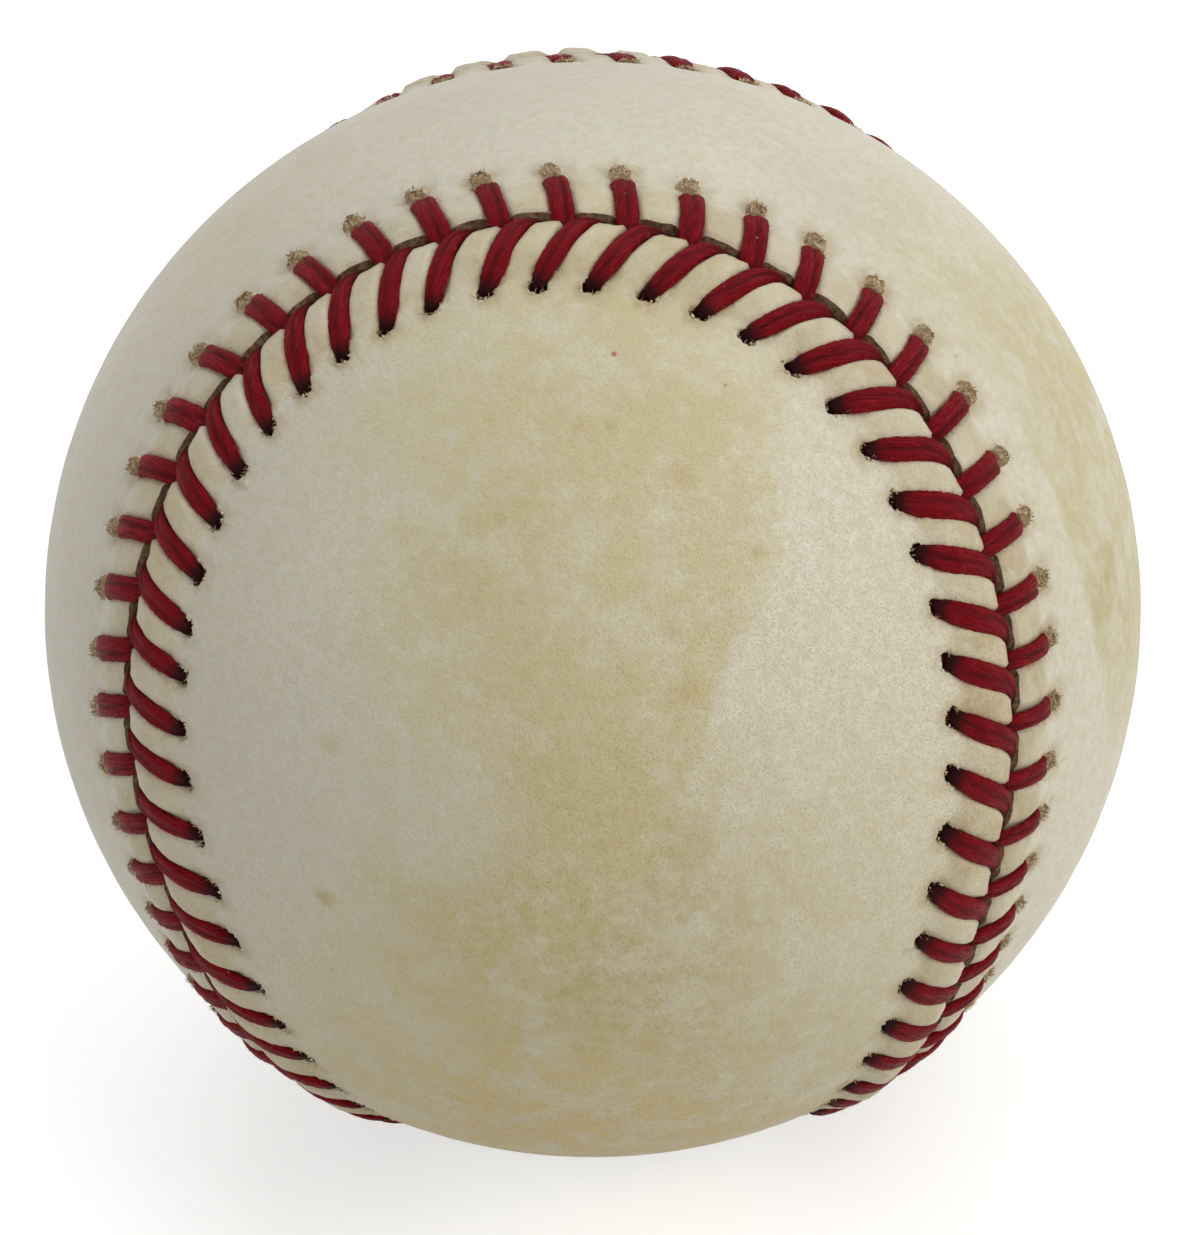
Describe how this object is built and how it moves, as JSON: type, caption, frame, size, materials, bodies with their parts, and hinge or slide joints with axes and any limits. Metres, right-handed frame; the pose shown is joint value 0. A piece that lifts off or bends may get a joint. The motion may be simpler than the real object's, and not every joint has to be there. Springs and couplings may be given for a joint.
{
  "type": "baseball",
  "caption": "Hand-sewn leather ball: a cork and rubber core wound with wool and yarn, covered by two interlocking panels with a red double-stitched seam.",
  "frame": {"origin": "the middle of the ball", "axes": "+Z through the neck of the upper panel, whose two round ends hang down round +X and -X; the lower panel's round ends stand up round +Y and -Y"},
  "size_m": [0.074, 0.074, 0.0738],
  "materials": {
    "cork": "granulated cork bound with rubber, matt",
    "black_rubber": "moulded, matt",
    "red_rubber": "moulded, matt",
    "grey_wool": "wound wool yarn",
    "white_wool": "wound wool yarn",
    "finishing_yarn": "wound cotton and polyester yarn",
    "cover_leather": "ivory hide with fine pores and a faint yellow stain, slight sheen",
    "waxed_thread": "waxed two-ply thread, crimson, glossy"
  },
  "bodies": {
    "root": {"cork_core": "cork", "black_rubber_lower": "black_rubber", "black_rubber_upper": "black_rubber", "rubber_gasket": "red_rubber", "red_rubber_lower": "red_rubber", "red_rubber_upper": "red_rubber", "first_grey_wool": "grey_wool", "white_wool": "white_wool", "second_grey_wool": "grey_wool", "finishing_yarn": "finishing_yarn", "upper_panel": "cover_leather", "lower_panel": "cover_leather", "upper_stitches": "waxed_thread", "lower_stitches": "waxed_thread"}
  },
  "joints": []
}
